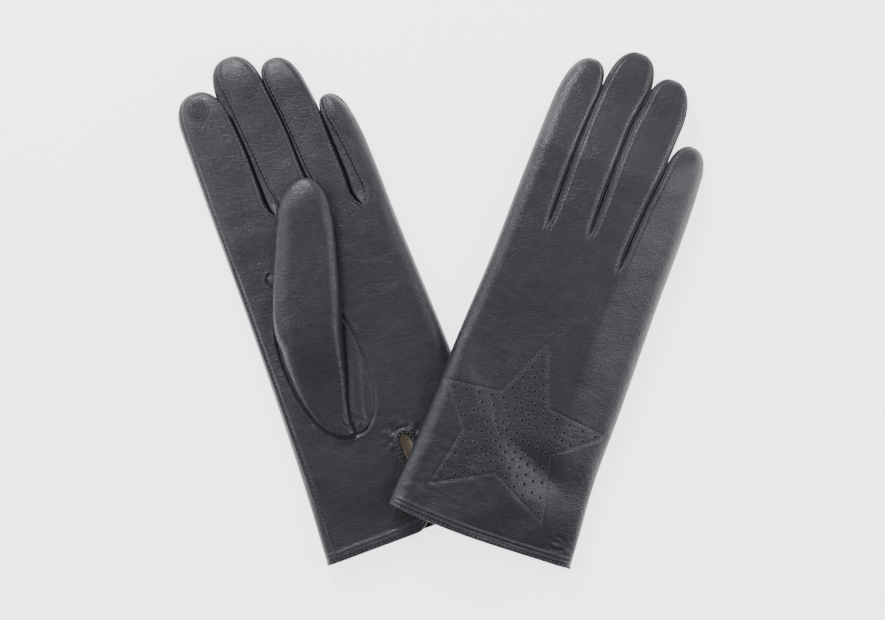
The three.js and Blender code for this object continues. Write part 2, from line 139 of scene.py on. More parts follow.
# %% Finger outlines
FINGERS = {
    "left": {
        "index": dict(
            left=[(146, -40.6), (180, -40.3), (214, -39.6)],
            right=[(146, -12.5), (162, -12.5), (166, -14.7), (178, -15.2), (195, -15.2),
                   (214, -16.4)],
            slit=(None, 162.5), round=211, tip=(-29.2, 230.5),
            share=(0, 0.08), spread=(0, 0), hinge=166),
        "middle": dict(
            left=[(146, -12.5), (162, -12.5), (166, -10.6), (178, -11.4), (195, -12.7), (222, -15.0)],
            right=[(146, 8.6), (163, 8.6), (168, 7.4), (180, 6.6), (200, 6.2), (222, 4.0)],
            slit=(162.5, 164), round=222, tip=(-8.1, 240.8),
            share=(0.92, 0.1), spread=(4.4, 0), hinge=176),
        "ring": dict(
            left=[(146, 8.6), (163, 8.6), (168, 9.8), (180, 8.8), (200, 7.5), (217, 6.0)],
            right=[(146, 27.6), (153, 27.6), (157, 24.8), (170, 24.5), (190, 24.1), (205, 24.0),
                   (217, 22.6)],
            slit=(164, 153.5), round=215, tip=(11.4, 233.2),
            share=(0.9, 0.08), spread=(2.9, 0), hinge=176),
        "little": dict(
            left=[(146, 27.6), (153, 27.6), (157, 30.3), (170, 30.1), (182, 28.9), (196, 27.0)],
            right=[(146, 40.6), (170, 40.4), (185, 39.8), (196, 38.6)],
            slit=(153.5, None), round=193, tip=(29.8, 208.4),
            share=(0.92, 0), spread=(4.2, 0), hinge=159),
    },
    "right": {
        "index": dict(
            left=[(132, -40.6), (165, -40.4), (200, -39.6), (212, -39.0)],
            right=[(132, -21.8), (147, -21.8), (151, -22.2), (190, -22.3), (212, -20.8)],
            slit=(None, 147.5), round=208, tip=(-28.2, 229.5),
            share=(0, 0.5), spread=(0, 1.2), hinge=150),
        "middle": dict(
            left=[(132, -21.8), (147, -21.8), (151, -21.2), (190, -21.1), (210, -20.4), (222, -19.4)],
            right=[(132, -1.8), (149, -1.8), (153, -2.3), (190, -2.4), (206, -1.7), (222, 0.9)],
            slit=(147.5, 149.5), round=219, tip=(-8.2, 239.6),
            share=(0.5, 0.5), spread=(0, 1.4), hinge=151),
        "ring": dict(
            left=[(132, -1.8), (149, -1.8), (153, -1.2), (190, -1.0), (206, 0.0), (217, 1.6)],
            right=[(132, 16.8), (138, 16.8), (142, 16.3), (170, 17.7), (192, 19.9), (215, 21.4)],
            slit=(149.5, 138.5), round=213, tip=(10.8, 233.2),
            share=(0.5, 0.5), spread=(0, 0.8), hinge=150),
        "little": dict(
            left=[(132, 16.8), (138, 16.8), (142, 17.5), (170, 19.5), (192, 21.9)],
            right=[(132, 40.7), (160, 40.7), (180, 40.2), (192, 39.5)],
            slit=(138.5, None), round=189, tip=(30.3, 206.5),
            share=(0.5, 0), spread=(0, 0), hinge=140),
    },
}
ORDER = ["index", "middle", "ring", "little"]
FINGER_HALF = 6.3
for glove in FINGERS:
    print(glove, {name: round(f["tip"][1] - f["hinge"], 1) for name, f in FINGERS[glove].items()})


# %% [markdown]
# ## The resting shape
# The right glove is lifted where it lies on the left glove's cuff and on its own thumb, and it
# sags to the table elsewhere. Soft waves keep any panel from being dead flat.

# %% How high each glove lies
def right_lift(x, y):
    c, s = math.cos(TILT), math.sin(TILT)
    wx = ORIGIN["right"][0] + x * c + y * s - ORIGIN["left"][0]
    wy = ORIGIN["right"][1] - x * s + y * c - ORIGIN["left"][1]
    left_x, left_y = wx * c + wy * s, -wx * s + wy * c
    on_cuff = ease((half_width(max(left_y, 0)) - left_x + 34) / 34) * ease((left_y + 34) / 34)
    on_cuff *= CUFF_LIFT - TABLE_CLEARANCE
    on_thumb = ease((44 - x) / 28) * ease((y - 20) / 34) * ease((218 - y) / 38)
    on_thumb *= THUMB_LIFT - TABLE_CLEARANCE
    return TABLE_CLEARANCE + math.log(math.exp(on_cuff / 1.6) + math.exp(on_thumb / 1.6) - 1) * 1.6


def lift(glove, x, y):
    return right_lift(x, y) if glove == "right" else 0.0


def waves(glove, x, y, size, seed):
    return noise.noise(Vector((x / size, y / size, seed + (7.0 if glove == "right" else 0.0))))


def rumple(glove, x, y):
    """The leather's own unevenness: slow swells, soft dents, and slight creases across."""
    slow = 0.6 * waves(glove, x, y, 26, 1) + 0.2 * waves(glove, x, y, 8, 2)
    return slow + 0.05 * waves(glove, x * 0.45, y, 2.4, 6)


def rolled(distance, radius):
    """A quarter-round edge: 0 at the very edge, 1 from radius inwards."""
    if distance >= radius:
        return 1.0
    t = 1 - max(distance, 0) / radius
    return math.sqrt(max(1 - t * t, 0.0))


FULLNESS = {"left": (1.2, 0.2), "right": (0.6, 0.0)}
BULGES = {"left": ((0, 25, 0.7), (95, 35, 0.7)), "right": ((85, 30, 0.8), (42, 25, -1.3))}


def outline(glove, y):
    """The hand's two edges at y, with its fullness and one soft bulge on each side."""
    root = min(y, ROOT_Y[glove])
    left, right = -half_width(root), half_width(root)
    if y > root:
        index, little = FINGERS[glove]["index"]["left"], FINGERS[glove]["little"]["right"]
        left += curve(index, y) - curve(index, root)
        right += curve(little, y) - curve(little, root)
    swell = [amount * math.exp(-(((y - at) / reach) ** 2)) for at, reach, amount in BULGES[glove]]
    return left - FULLNESS[glove][0] - swell[0], right + FULLNESS[glove][1] + swell[1]


# %% [markdown]
# ## What is sewn into the panels
# `groove` is the valley that a row of stitches pulls into soft leather, with a faint raised lip
# on both sides. The palm has the oval thumb seam, the side seam, the keyhole vent with its
# gathers and the hem; the back has the stitched and perforated star.

# %% Seams and gathers of the palm
OVAL = dict(x=-15.2, y=88.0, across=18.0, along=35.4, power=2.35, shear=0.045)
VENT_X, VENT_HEAD_Y = 7.8, 41.0
KEYHOLE_WIDE, KEYHOLE_TALL = 2.9, 4.3
VENT_WIDTHS = [(0, 4.2), (3, 2.9), (8, 1.5), (15, 0.8), (24, 0.9), (29, 1.9), (34, 2.8),
               (41, KEYHOLE_WIDE)]
QUIRK = [(-25.0, 137.2), (-26.8, 134.6), (-25.6, 132.0), (-23.2, 129.6)]


def groove(distance, width, depth):
    t = abs(distance) / width
    return -depth * math.exp(-t * t) + 0.28 * depth * math.exp(-((t - 2.2) ** 2))


def oval_distance(x, y):
    """Distance outside the oval seam, negative inside it."""
    dx = x - OVAL["x"] - OVAL["shear"] * (OVAL["y"] - y)
    dy = y - OVAL["y"]
    reach = math.hypot(dx, dy) + 1e-6
    form = (abs(dx) / OVAL["across"]) ** OVAL["power"] + (abs(dy) / OVAL["along"]) ** OVAL["power"]
    return reach * (1 - (form + 1e-9) ** (-1 / OVAL["power"]))


def oval_side(y, side):
    t = min(abs(y - OVAL["y"]) / OVAL["along"], 1.0)
    reach = OVAL["across"] * (1 - t ** OVAL["power"]) ** (1 / OVAL["power"])
    return OVAL["x"] + OVAL["shear"] * (OVAL["y"] - y) + side * reach


def vent_half(y):
    if y > VENT_HEAD_Y:
        return KEYHOLE_WIDE * math.sqrt(max(1 - ((y - VENT_HEAD_Y) / KEYHOLE_TALL) ** 2, 0.0))
    return curve(VENT_WIDTHS, y)


def side_seam(y):
    return curve([(0, 5.4), (30, 4.2), (70, 3.0), (240, 2.3)], y)


def segment_distance(p, a, b):
    ax, ay = b[0] - a[0], b[1] - a[1]
    t = ((p[0] - a[0]) * ax + (p[1] - a[1]) * ay) / (ax * ax + ay * ay)
    t = min(max(t, 0.0), 1.0)
    return math.hypot(p[0] - a[0] - ax * t, p[1] - a[1] - ay * t)


def palm_detail(glove, x, y):
    left, _ = outline(glove, y)
    rise = groove(x - left - side_seam(y), 0.6, 0.7)
    if 45 < y < 128:
        d = oval_distance(x, y)
        rise += groove(d, 0.75, 0.9)
        rise += 0.22 * math.exp(-((d - 3.0) / 2.5) ** 2) * waves(glove, x, y, 4.2, 3)
    if 126 < y < 141:
        d = min(segment_distance((x, y), a, b) for a, b in zip(QUIRK, QUIRK[1:]))
        rise += groove(d, 0.6, 0.8)
    d = math.hypot(x - VENT_X, (y - VENT_HEAD_Y) * 0.9)
    if y > 28 and d < 20:
        turn = math.atan2(y - VENT_HEAD_Y, x - VENT_X)
        fade = math.exp(-((d - 6.5) / 4.5) ** 2)
        pleats = math.sin(9 * turn + 4 * waves(glove, x, y, 7, 4))
        rise += 0.2 * fade * pleats * ease((y - 34) / 10)
        rise += 1.0 * fade * waves(glove, x, y, 2.6, 5) * ease((y - 36) / 10)
    return rise


# %% [markdown]
# The star's outline is ten straight stitched lines. Its holes follow smaller copies of the same
# star, nested towards the middle, so a loop over a few scales punches them all.

# %% Star and perforations of the back
STAR = [
    (-2.8, 95.0), (8.6, 67.2), (39.6, 64.2), (17.2, 47.0), (24.9, 15.6),
    (-4.3, 30.6), (-31.2, 15.6), (-25.3, 45.2), (-41.2, 63.6), (-14.6, 67.2),
]
STAR_CENTRE = (-2.6, 50.0)
HOLE_RADIUS = 0.78


def star_holes():
    holes = []
    mid_x, mid_y = STAR_CENTRE
    for scale, spacing in ((0.87, 6.3), (0.64, 5.6), (0.44, 4.9), (0.26, 4.2), (0.1, 4.2)):
        ring = [
            (mid_x + (x - mid_x) * scale, mid_y + (y - mid_y) * scale)
            for x, y in STAR
        ]
        for a, b in zip(ring, ring[1:] + ring[:1]):
            length = math.hypot(b[0] - a[0], b[1] - a[1])
            count = max(round(length / spacing), 1)
            holes += [
                (mix(a[0], b[0], k / count), mix(a[1], b[1], k / count)) for k in range(count)
            ]
    kept = []
    for hole in holes:
        if all(math.hypot(hole[0] - q[0], hole[1] - q[1]) > 3.1 for q in kept):
            kept.append(hole)
    return kept


HOLES = star_holes()
print("perforations in the star:", len(HOLES))


def star_distance(x, y):
    edges = zip(STAR, STAR[1:] + STAR[:1])
    return min(segment_distance((x, y), a, b) for a, b in edges)


def back_detail(glove, x, y):
    rise = 0.0
    if 8 < y < 102:
        d = star_distance(x, y)
        if d < 5:
            rise -= 0.3 * math.exp(-((d / 0.7) ** 2))
        for hx, hy in HOLES:
            dx, dy = x - hx, y - hy
            if abs(dx) < 2.6 and abs(dy) < 2.6:
                rise -= 0.22 * math.exp(-(dx * dx + dy * dy) / 1.3)
    if y < 60:
        crease = waves(glove, x * 0.6, y, 3.0, 11)
        rise += 0.24 * ease((60 - y) / 40) * ease((y - 4) / 6) * crease * ease((20 - x) / 40)
        corner = math.exp(-(((x - 34) / 9) ** 2) - ((y - 9) / 4) ** 2)
        rise += 0.8 * corner * waves(glove, x * 0.5, y, 2.2, 12)
    return rise


# %% The height of a panel's outer face
HEM = 4.7
HEM_ROWS = (1.3, 3.5)


def hem_edge(glove, x, is_palm):
    """Where the hem runs: straight, a little bowed on the back, and rounded off at the vent."""
    if is_palm:
        near = max(1 - (abs(x - VENT_X) - 2.6) / 6.5, 0)
        return 3.6 * near ** 2.2 - 0.9
    bow = -1.6 if glove == "right" else -0.6
    return bow * (1 - (x / 46) ** 2) - 0.3


def hem_detail(q):
    """The turned hem: a raised band with two rows of stitches sunk into it."""
    if q > HEM + 3:
        return 0.0
    band = 0.75 * ease((HEM + 0.5 - q) / 0.9)
    return band + groove(q - HEM_ROWS[0], 0.5, 0.5) + groove(q - HEM_ROWS[1], 0.5, 0.75)


def face(glove, x, y, is_palm):
    """Height of the hand's outer face, palm or back, with all that is sewn into it."""
    side = PALM_SIDE[glove] * (1 if is_palm else -1)
    left, right = outline(glove, y)
    half = hand_height(y) / 2
    profile = rolled(min(x - left, right - x), EDGE_ROLL)
    middle = (2 * x - left - right) / (right - left)
    puff = 1.0 if side < 0 else 1 - 0.1 * middle ** 2
    soft = 0.0 if side < 0 and glove == "left" else rumple(glove, x, y)
    detail = palm_detail(glove, x, y) if is_palm else back_detail(glove, x, y)
    detail += hem_detail(y - hem_edge(glove, x, is_palm))
    if side < 0 and glove == "left":
        detail = min(detail, 0.0)
    z = half + side * (half * profile * puff + (soft + detail) * min(profile * 1.6, 1.0) * 0.999)
    return lift(glove, x, y) + z


print("palm at the middle stands", round(face("left", 0, 100, True), 2), "mm high")

# %% [markdown]
# ## Leather, lining and thread
# Glove leather is drum-dyed sheepskin with a light finish: nearly black, a satin sheen, and a
# fine grain of cells under a millimetre wide. The grain is drawn a little coarser than the real
# one so that it shows. `node` adds one shader node with its settings and links.

# %% Colours and the node helper


def linear(code):
    """A hex sRGB colour as linear RGBA."""
    parts = [int(code[i:i + 2], 16) / 255 for i in (1, 3, 5)]
    return tuple(p / 12.92 if p <= 0.04045 else ((p + 0.055) / 1.055) ** 2.4 for p in parts) + (1.0,)


def node(tree, kind, settings=(), inputs=(), links=()):
    """Adds a node: settings are its own properties, inputs its socket values, links its sources."""
    made = tree.nodes.new(kind)
    for key, value in dict(settings).items():
        setattr(made, key, value)
    for key, value in dict(inputs).items():
        made.inputs[key].default_value = value
    for key, source in dict(links).items():
        tree.links.new(source, made.inputs[key])
    return made


def new_material(name):
    material = bpy.data.materials.new(name)
    material.use_nodes = True
    tree = material.node_tree
    shader = tree.nodes["Principled BSDF"]
    coords = node(tree, "ShaderNodeTexCoord")
    return material, tree, shader, coords.outputs["Object"]


# %% Satin sheepskin
def make_leather(name, dark, light, grain_mm, roughness, grain_depth, turn=0.0):
    """Grain cells, fine creases lying across the fingers, and a slow change of tone."""
    material, tree, shader, where = new_material(name)
    across = node(
        tree, "ShaderNodeMapping", {},
        {"Rotation": (0.0, 0.0, -turn), "Scale": (300.0, 1100.0, 700.0)}, {"Vector": where})
    creased = node(
        tree, "ShaderNodeTexNoise", {},
        {"Scale": 1.0, "Detail": 4.0, "Roughness": 0.7, "Distortion": 0.6},
        {"Vector": across.outputs["Vector"]})
    cells = node(
        tree, "ShaderNodeTexVoronoi", {"feature": "SMOOTH_F1"},
        {"Scale": 1 / (grain_mm * MM), "Smoothness": 0.6}, {"Vector": where})
    creases = node(
        tree, "ShaderNodeTexNoise", {}, {"Scale": 1 / (4.5 * MM), "Detail": 5.0, "Roughness": 0.62},
        {"Vector": where})
    patches = node(
        tree, "ShaderNodeTexNoise", {}, {"Scale": 1 / (38 * MM), "Detail": 3.0}, {"Vector": where})
    tone = node(
        tree, "ShaderNodeMix", {"data_type": "RGBA"}, {"A": linear(dark), "B": linear(light)},
        {"Factor": patches.outputs["Fac"]})
    tree.links.new(tone.outputs["Result"], shader.inputs["Base Color"])
    rough = node(
        tree, "ShaderNodeMapRange", {},
        {"From Min": 0.3, "From Max": 0.7,
         "To Min": roughness - 0.05, "To Max": roughness + 0.07},
        {"Value": creases.outputs["Fac"]})
    tree.links.new(rough.outputs["Result"], shader.inputs["Roughness"])
    fine = node(
        tree, "ShaderNodeBump", {}, {"Strength": grain_depth, "Distance": 0.00015},
        {"Height": cells.outputs["Distance"]})
    lines = node(
        tree, "ShaderNodeBump", {}, {"Strength": 0.6, "Distance": 0.0004},
        {"Height": creased.outputs["Fac"], "Normal": fine.outputs["Normal"]})
    wide = node(
        tree, "ShaderNodeBump", {}, {"Strength": 0.35, "Distance": 0.0004},
        {"Height": creases.outputs["Fac"], "Normal": lines.outputs["Normal"]})
    tree.links.new(wide.outputs["Normal"], shader.inputs["Normal"])
    shader.inputs["IOR"].default_value = 1.5
    shader.inputs["Specular IOR Level"].default_value = 0.5
    return material


# %% Knitted lining and waxed thread
def make_knit(name, colour):
    """A fine silk and cotton knit: rows of loops about a millimetre apart, matt and cream."""
    material, tree, shader, where = new_material(name)
    rows = node(
        tree, "ShaderNodeTexWave", {"wave_type": "BANDS", "bands_direction": "DIAGONAL"},
        {"Scale": math.pi / 10 / (0.9 * MM), "Distortion": 1.2, "Detail": 1.0}, {"Vector": where})
    ribs = node(
        tree, "ShaderNodeBump", {}, {"Strength": 0.4, "Distance": 0.0002},
        {"Height": rows.outputs["Fac"]})
    tree.links.new(ribs.outputs["Normal"], shader.inputs["Normal"])
    shade = node(
        tree, "ShaderNodeMix", {"data_type": "RGBA"},
        {"A": linear(colour), "B": linear("#e9e0ca")}, {"Factor": rows.outputs["Fac"]})
    tree.links.new(shade.outputs["Result"], shader.inputs["Base Color"])
    shader.inputs["Roughness"].default_value = 0.85
    shader.inputs["Sheen Weight"].default_value = 0.3
    return material


def make_thread(name, colour, shadow, roughness):
    """Waxed polyester thread, a shade lighter than the leather, with the twist's shade painted in as
    darker flecks.
    """
    material, tree, shader, where = new_material(name)
    twist = node(
        tree, "ShaderNodeTexNoise", {}, {"Scale": 1 / (0.5 * MM), "Detail": 2.0}, {"Vector": where})
    # The shadow colour mixed in along the twist noise is painted shade of the twisted strands.
    shade = node(
        tree, "ShaderNodeMix", {"data_type": "RGBA"},
        {"A": linear(colour), "B": linear(shadow)}, {"Factor": twist.outputs["Fac"]})
    tree.links.new(shade.outputs["Result"], shader.inputs["Base Color"])
    shader.inputs["Roughness"].default_value = roughness
    return material


LEATHER_LOOK = {
    glove: make_leather(
        f"{glove}_satin_sheepskin", "#1f1e25", "#27262f", 0.8, 0.34, 0.7, TURN[glove])
    for glove in ("left", "right")
}
EDGE_LOOK = make_leather("pressed_sheepskin_edge", "#18181c", "#1e1e23", 0.7, 0.38, 0.4)
PAD_LOOK = make_leather("embossed_touch_leather", "#1f1f26", "#29292f", 0.6, 0.4, 0.6)
LINING_LOOK = make_knit("cream_knit_lining", "#fff8e8")
THREAD_LOOK = make_thread("waxed_thread", "#6e6e78", "#4b4b54", 0.45)
DARK_THREAD_LOOK = make_thread("waxed_thread_dark", "#3a3a41", "#292930", 0.45)
# The hole rims' lighter grey is a painted highlight on their raised lips.
HOLE_RIM_HIGHLIGHT_LOOK = make_leather("hole_rim_painted_highlight", "#40404a", "#4c4c57", 0.7, 0.36, 0.3)
BORE_LOOK = make_thread("shaded_bore", "#0d0d0f", "#080809", 0.9)
print("materials:", [m.name for m in bpy.data.materials if m.use_nodes][:8])

# %% [markdown]
# ## Making one panel
# `panel` takes a flat grid, bends it with a formula of u and v, each from 0 to 1, and turns its
# faces to the outside. Solidify then gives the leather its thickness towards the inside.


# %% The panel maker
def finish_mesh(name, bm, look, body, replaced):
    for edge in bm.edges:
        edge.smooth = not edge.is_boundary
    mesh = bpy.data.meshes.new(name)
    bm.to_mesh(mesh)
    bm.free()
    for polygon in mesh.polygons:
        polygon.use_smooth = True
    mesh.materials.append(look)
    piece = bpy.data.objects.new(name, mesh)
    bpy.context.scene.collection.objects.link(piece)
    if body:
        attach(piece, body)
    if replaced:
        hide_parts(*replaced)
    return piece


def panel_bmesh(columns, rows, where, up):
    bm = bmesh.new()
    bmesh.ops.create_grid(bm, x_segments=columns, y_segments=rows, size=0.5)
    for vert in bm.verts:
        vert.co = where(vert.co.x + 0.5, vert.co.y + 0.5)
    bmesh.ops.remove_doubles(bm, verts=bm.verts, dist=2e-6)
    bm.normal_update()
    area = sum((f.normal * f.calc_area() for f in bm.faces), Vector())
    if area.dot(Vector(up)) < 0:
        bmesh.ops.reverse_faces(bm, faces=bm.faces)
    return bm


def thicken(piece, thickness=LEATHER):
    solid = piece.modifiers.new("thickness", "SOLIDIFY")
    solid.thickness = thickness * MM
    solid.offset = -1
    return piece


def panel(name, columns, rows, where, up, body, replaced, look=None, cut=None):
    bm = panel_bmesh(columns, rows, where, up)
    if cut:
        gone = [f for f in bm.faces if cut(f.calc_center_median())]
        bmesh.ops.delete(bm, geom=gone, context="FACES")
    piece = finish_mesh(name, bm, look or LEATHER_LOOK[name.split("_")[0]], body, replaced)
    return thicken(piece)


def move_into(joined, bm):
    """Adds one bmesh to another, and frees it."""
    mesh = bpy.data.meshes.new("half")
    bm.to_mesh(mesh)
    bm.free()
    joined.from_mesh(mesh)
    bpy.data.meshes.remove(mesh)


def local(glove, point):
    """A point in metres, back in the glove's own millimetres."""
    c, s = math.cos(TURN[glove]), math.sin(TURN[glove])
    x, y = point.x / MM - ORIGIN[glove][0], point.y / MM - ORIGIN[glove][1]
    return x * c + y * s, -x * s + y * c


# %% [markdown]
# ## Palm and back
# The first rows of each panel curl round the hem's edge, and the rest run up to the finger
# roots. Columns crowd towards the rolled edges, where the surface turns fastest.

# %% Hand panels
CURL, CURL_ROWS = 0.7, 6


def crowd(u, amount=0.55):
    return mix(u, 0.5 - 0.5 * math.cos(math.pi * u), amount)


def hand_panel(glove, is_palm, columns, rows):
    side = PALM_SIDE[glove] * (1 if is_palm else -1)

    def where(u, v):
        row = v * rows
        top = ROOT_Y[glove]
        guess = mix(-half_width(0), half_width(0), crowd(u))
        edge = hem_edge(glove, guess, is_palm)
        curl = max(1 - row / CURL_ROWS, 0)
        if curl > 0:
            turn = math.pi * curl
            y, depth = edge + CURL - CURL * math.sin(turn), CURL * (1 - math.cos(turn))
        else:
            y, depth = mix(edge + CURL, top, (row - CURL_ROWS) / (rows - CURL_ROWS)), 0.0
        left, right = outline(glove, y)
        x = mix(left, right, crowd(u))
        depth *= rolled(min(x - left, right - x), EDGE_ROLL)
        return place(glove, x, y, face(glove, x, max(y, edge + CURL), is_palm) - side * depth)

    def cut(centre):
        x, y = local(glove, centre)
        in_vent = y < VENT_HEAD_Y + KEYHOLE_TALL and abs(x - VENT_X) < vent_half(y) + 0.2
        return is_palm and in_vent

    part = "palm_panel" if is_palm else "back_panel"
    return panel(f"{glove}_{part}_leather", columns, rows, where, (0, 0, side),
                 f"{glove}_hand", [f"{glove}_{part}"], cut=cut)


def size_for(fine):
    return fine


for glove in ("left", "right"):
    hand_panel(glove, True, size_for(120), size_for(180))
    hand_panel(glove, False, size_for(150), size_for(230))
print("hand panels made")

# %% [markdown]
# ## Fingers
# Each finger is a front, a back and, between neighbours, the long side strips that glovers
# call fourchettes. The panels turn down towards the strips and end in a raised, stitched rim.

# %% Finger surfaces
ROLL = {"left": (2.2, 1.3), "right": (1.0, 0.55)}


def finger_taper(f, y):
    s = min(max((y - f["round"]) / (f["tip"][1] - f["round"]), 0.0), 1.0)
    return s, max(1 - s ** 2.5, 0.0) ** 0.45


def finger_edges(glove, name, y, upper):
    f = FINGERS[glove][name]
    left = curve(f["left"], y) if f["slit"][0] else outline(glove, y)[0]
    right = curve(f["right"], y) if f["slit"][1] else outline(glove, y)[1]
    if not upper and y > min(s for s in f["slit"] if s):
        at = ORDER.index(name)
        if f["slit"][0]:
            other = FINGERS[glove][ORDER[at - 1]]
            past = ease((y - other["round"] + 4) / 12)
            left -= max(f["share"][0] * (left - curve(other["right"], y)), past * f["spread"][0])
        if f["slit"][1]:
            other = FINGERS[glove][ORDER[at + 1]]
            past = ease((y - other["round"] + 4) / 12)
            right += max(f["share"][1] * (curve(other["left"], y) - right), past * f["spread"][1])
    s, taper = finger_taper(f, y)
    centre = mix((left + right) / 2, f["tip"][0], s ** 1.3)
    half = (right - left) / 2 * taper
    return centre - half, centre + half


def finger_point(glove, name, y, u, side):
    """A point of a finger's outer face: u runs across, side is +1 above and -1 below."""
    f = FINGERS[glove][name]
    left, right = finger_edges(glove, name, y, side > 0)
    s, taper = finger_taper(f, y)
    x = mix(left, right, u)
    root = ROOT_Y[glove]
    along = min(max((y - root) / 60, 0), 1)
    half = mix(hand_height(y) / 2, FINGER_HALF - 0.7 * along, ease((y - root) / 20))
    high = (1 - s ** 2.8) ** 0.5 if s < 1 else 0.0
    is_palm = side == PALM_SIDE[glove]
    profile, drop, ridge = 1.0, 0.0, 0.0
    radius, depth = ROLL[glove] if side > 0 else (2.0, 2.4)
    for k, edge in enumerate((x - left, right - x)):
        slit = f["slit"][k]
        if slit is None:
            profile = min(profile, rolled(edge, mix(3.0, EDGE_ROLL, taper)))
        else:
            open_by = ease((y - slit + 1) / 8)
            drop = max(drop, depth * open_by * (1 - rolled(edge, radius)))
            near = ease((y - slit + 4) / 5)
            rim = 0.35 * math.exp(-((edge - 0.75) / 0.5) ** 2)
            ridge += near * (rim + groove(edge - 1.75, 0.4, 0.3))
    outer_left, outer_right = outline(glove, min(y, f["round"]))
    middle = (2 * x - outer_left - outer_right) / (outer_right - outer_left)
    puff = 1.0 if side < 0 else 1 - 0.1 * middle ** 2 * ease(1 - (y - root) / 40)
    crown = -0.5 * (2 * u - 1) ** 2 * ease((y - root - 15) / 25)
    flat_on_table = side < 0 and glove == "left"
    soft = 0.0 if flat_on_table else rumple(glove, x, y)
    detail = 0.0 if flat_on_table else ridge + soft + crown
    if is_palm and name == "index":
        detail += groove(x - left - side_seam(y) * taper, 0.5, 0.4)
    raised = detail * min(profile * 1.6, 1)
    z = half + side * high * (half * profile * puff - drop * high + raised)
    return x, y, lift(glove, x, y) + z


def rows_to_tip(v, start, round_off, tip, straight):
    if v <= straight:
        return mix(start, round_off, v / straight)
    return mix(round_off, tip, math.sin(math.pi / 2 * (v - straight) / (1 - straight)))


def finger_rows(glove, name, v, start=None):
    """v as y: even steps along the finger, then shorter ones round the tip."""
    f = FINGERS[glove][name]
    start = ROOT_Y[glove] if start is None else start
    return rows_to_tip(v, start, f["round"], f["tip"][1], 0.68)


def bend_with(piece, glove, name):
    """Bakes a finger piece's transform into its mesh; the root points it works out are not used."""
    f = FINGERS[glove][name]
    x = (curve(f["left"], f["hinge"]) + curve(f["right"], f["hinge"])) / 2
    slits = [s for s in f["slit"] if s]
    start = place(glove, x, max(slits) + 0.5, 0)
    end = place(glove, x, f["hinge"] + 15, 0)
    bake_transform(piece)


# %% Finger panels and side strips
def finger_panel(glove, name, side):
    is_palm = side == PALM_SIDE[glove]

    def where(u, v):
        y = finger_rows(glove, name, v)
        return place(glove, *finger_point(glove, name, y, crowd(u, 0.8), side))

    part = "front" if is_palm else "back"
    piece = panel(f"{glove}_{name}_{part}_leather", size_for(40), size_for(90), where,
                  (0, 0, side), None, [f"{glove}_{name}_{part}"])
    bend_with(piece, glove, name)


def side_strip(glove, name, k, neighbour):
    f = FINGERS[glove][name]
    start = f["slit"][k] - 0.8

    def where(u, v):
        y = finger_rows(glove, name, v * 0.995, start)
        top = finger_point(glove, name, y, k, 1)
        low = finger_point(glove, name, y, k, -1)
        out = math.sin(math.pi / 2 * u)
        down = 1 - max(1 - out ** 5, 0.0) ** (1 / 5)
        return place(glove, mix(top[0], low[0], out), y, mix(top[2], low[2], down))

    outward = place(glove, -1 if k == 0 else 1, 0, 0) - place(glove, 0, 0, 0)
    piece = panel(f"{glove}_{name}_fourchette_{neighbour}_side_leather", 12, 70, where, outward,
                  None, [f"{glove}_{name}_fourchette_{neighbour}_side"])
    bend_with(piece, glove, name)


for glove in ("left", "right"):
    for i, name in enumerate(ORDER):
        finger_panel(glove, name, 1)
        finger_panel(glove, name, -1)
        if i > 0:
            side_strip(glove, name, 0, ORDER[i - 1])
        if i < 3:
            side_strip(glove, name, 1, ORDER[i + 1])
side_strips = [o.name for o in bpy.data.objects if "_fourchette_" in o.name]
print("side strips between the fingers:", len(side_strips))

# %% [markdown]
# ## Linings
# The knit lining is the same shape a little further in. It shows at the cuff's mouth and
# through the keyhole, so the hand's lining is open at the wrist and behind the vent.

# %% Linings
INSET = 1.3


def lining_point(glove, x, y, is_palm):
    side = PALM_SIDE[glove] * (1 if is_palm else -1)
    left, right = outline(glove, y)
    half = hand_height(y) / 2
    profile = rolled(min(x - left, right - x), EDGE_ROLL - INSET)
    z = half + side * (half - INSET) * profile * (1.0 if side < 0 else 0.9)
    return lift(glove, x, y) + z


def hand_lining(glove):
    joined = bmesh.new()
    for is_palm in (True, False):
        side = PALM_SIDE[glove] * (1 if is_palm else -1)

        def where(u, v):
            y = mix(HEM + 1.2, ROOT_Y[glove] + 4, v)
            left, right = outline(glove, y)
            x = mix(left + INSET, right - INSET, crowd(u, 0.8))
            z = lining_point(glove, mix(left, right, crowd(u, 0.8)), y, is_palm)
            return place(glove, x, y, z)

        bm = panel_bmesh(60, 90, where, (0, 0, side))
        if is_palm:
            gone = []
            for f in bm.faces:
                x, y = local(glove, f.calc_center_median())
                if y < VENT_HEAD_Y + 5 and abs(x - VENT_X) < vent_half(y) + 1.2:
                    gone.append(f)
            bmesh.ops.delete(bm, geom=gone, context="FACES")
        move_into(joined, bm)
    bmesh.ops.remove_doubles(joined, verts=joined.verts, dist=2e-5)
    piece = finish_mesh(f"{glove}_hand_lining_knit", joined, LINING_LOOK, f"{glove}_hand",
                        [f"{glove}_hand_lining"])
    thicken(piece, 0.4)


def between(top, low, turn):
    """A point inside two faces, INSET under one of them, closing up where turn is 0."""
    half = max((top[2] - low[2]) / 2 - INSET, 0.15) * math.copysign(abs(turn) ** 0.6, turn)
    return top[0], top[1], (top[2] + low[2]) / 2 + half


def tube_lining(glove, part, where):
    """A knit tube closed on itself, for a finger or the thumb."""
    bm = panel_bmesh(28, 40, where, (0, 0, 1))
    bmesh.ops.remove_doubles(bm, verts=bm.verts, dist=2e-5)
    bmesh.ops.recalc_face_normals(bm, faces=bm.faces)
    piece = finish_mesh(f"{glove}_{part}_lining_knit", bm, LINING_LOOK, None,
                        [f"{glove}_{part}_lining"])
    return thicken(piece, 0.3)


